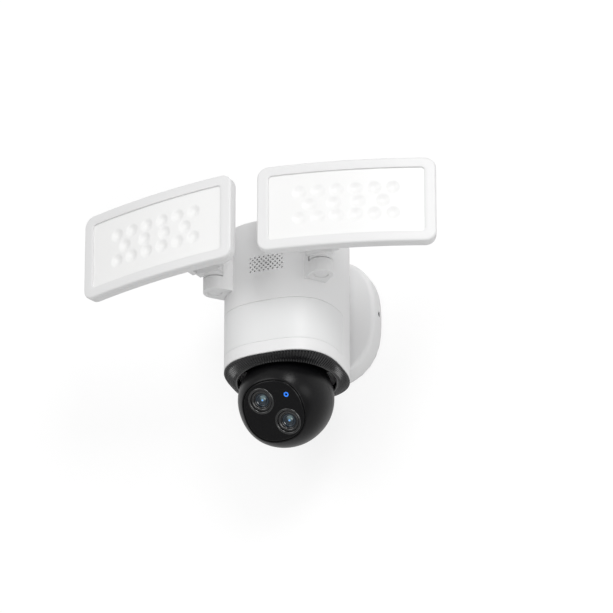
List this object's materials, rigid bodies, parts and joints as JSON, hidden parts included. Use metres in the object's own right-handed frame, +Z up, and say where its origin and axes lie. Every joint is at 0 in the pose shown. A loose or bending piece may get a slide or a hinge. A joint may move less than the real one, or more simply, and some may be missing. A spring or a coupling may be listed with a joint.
{
  "type": "floodlight security camera",
  "caption": "Wall-mounted security camera: a squarish body column with a pan and tilt camera ball below and curved flood lamps on swivel and tilt brackets.",
  "frame": {"origin": "centre of the wall plate's back face, on the wall", "axes": "+Z up, +X to the viewer's right as seen from the front, +Y into the wall; the front faces -Y"},
  "size_m": [0.3294, 0.1783, 0.217],
  "materials": {
    "white_plastic": "fine satin moulded plastic",
    "window_plastic": "satin infrared window",
    "diffuser_plastic": "frosted translucent plastic",
    "trim_plastic": "satin black plastic",
    "ball_plastic": "satin black plastic",
    "face_plastic": "polished black plastic",
    "lens_glass": "coated lens glass",
    "status_light": "blue light pipe",
    "foam_rubber": "closed-cell foam and rubber",
    "steel": "zinc-plated steel",
    "circuit_board": "solder-masked board"
  },
  "bodies": {
    "housing": {"wall_gasket": "foam_rubber", "wall_plate": "steel", "terminal_block": "white_plastic", "base_cover": "white_plastic", "base_set_screw_left": "steel", "base_set_screw_right": "steel", "body_shell": "white_plastic", "pir_window": "window_plastic", "body_screw_upper": "steel", "body_screw_lower": "steel", "cable_gland": "foam_rubber", "chassis_plate": "steel", "main_board": "circuit_board", "power_board": "circuit_board", "speaker": "trim_plastic", "motion_sensor": "circuit_board", "pan_deck": "trim_plastic", "pan_bearing": "steel", "pan_motor": "steel", "bottom_ring": "trim_plastic", "arm_right": "white_plastic", "arm_cap_right": "white_plastic", "arm_screw_right": "steel", "arm_left": "white_plastic", "arm_cap_left": "white_plastic", "arm_screw_left": "steel"},
    "right_turret": {"turret_right": "white_plastic", "swivel_washer_right": "steel", "swivel_bolt_right": "steel"},
    "right_lamp": {"lamp_housing_right": "white_plastic", "lamp_bezel_right": "white_plastic", "diffuser_right": "diffuser_plastic", "led_board_right": "circuit_board", "lamp_bracket_right": "white_plastic", "tilt_pin_right": "steel"},
    "left_turret": {"turret_left": "white_plastic", "swivel_washer_left": "steel", "swivel_bolt_left": "steel"},
    "left_lamp": {"lamp_housing_left": "white_plastic", "lamp_bezel_left": "white_plastic", "diffuser_left": "diffuser_plastic", "led_board_left": "circuit_board", "lamp_bracket_left": "white_plastic", "tilt_pin_left": "steel"},
    "camera_yoke": {"pan_stem": "trim_plastic", "tilt_motor": "steel"},
    "camera_ball": {"ball_front_shell": "ball_plastic", "ball_rear_shell": "ball_plastic", "tilt_axle": "steel", "face_plate": "face_plastic", "lens_bezel_upper": "face_plastic", "lens_bezel_lower": "face_plastic", "lens_glass_upper": "lens_glass", "lens_glass_lower": "lens_glass", "lens_barrel_upper": "trim_plastic", "lens_barrel_lower": "trim_plastic", "status_led": "status_light", "image_board": "circuit_board"}
  },
  "joints": [
    {"name": "right_lamp_swivel", "type": "hinge", "parent": "housing", "child": "right_turret", "pos_m": [0.04954, -0.11961, 0], "axis": [0, 0, 1], "range_deg": [-8, 60]},
    {"name": "right_lamp_tilt", "type": "hinge", "parent": "right_turret", "child": "right_lamp", "pos_m": [0.05374, -0.13743, 0.0219], "axis": [0.9734, 0.2292, 0], "range_deg": [-30, 40]},
    {"name": "left_lamp_swivel", "type": "hinge", "parent": "housing", "child": "left_turret", "pos_m": [-0.04954, -0.11961, 0], "axis": [0, 0, -1], "range_deg": [-8, 60]},
    {"name": "left_lamp_tilt", "type": "hinge", "parent": "left_turret", "child": "left_lamp", "pos_m": [-0.05374, -0.13743, 0.0219], "axis": [0.9734, -0.2292, 0], "range_deg": [-30, 40]},
    {"name": "camera_pan", "type": "hinge", "parent": "housing", "child": "camera_yoke", "pos_m": [0, -0.0726, -0.0981], "axis": [0, 0, 1], "range_deg": [-170, 180]},
    {"name": "camera_tilt", "type": "hinge", "parent": "camera_yoke", "child": "camera_ball", "pos_m": [0, -0.0726, -0.0981], "axis": [0.9962, -0.0872, 0], "range_deg": [-41.5, 43.5]}
  ]
}
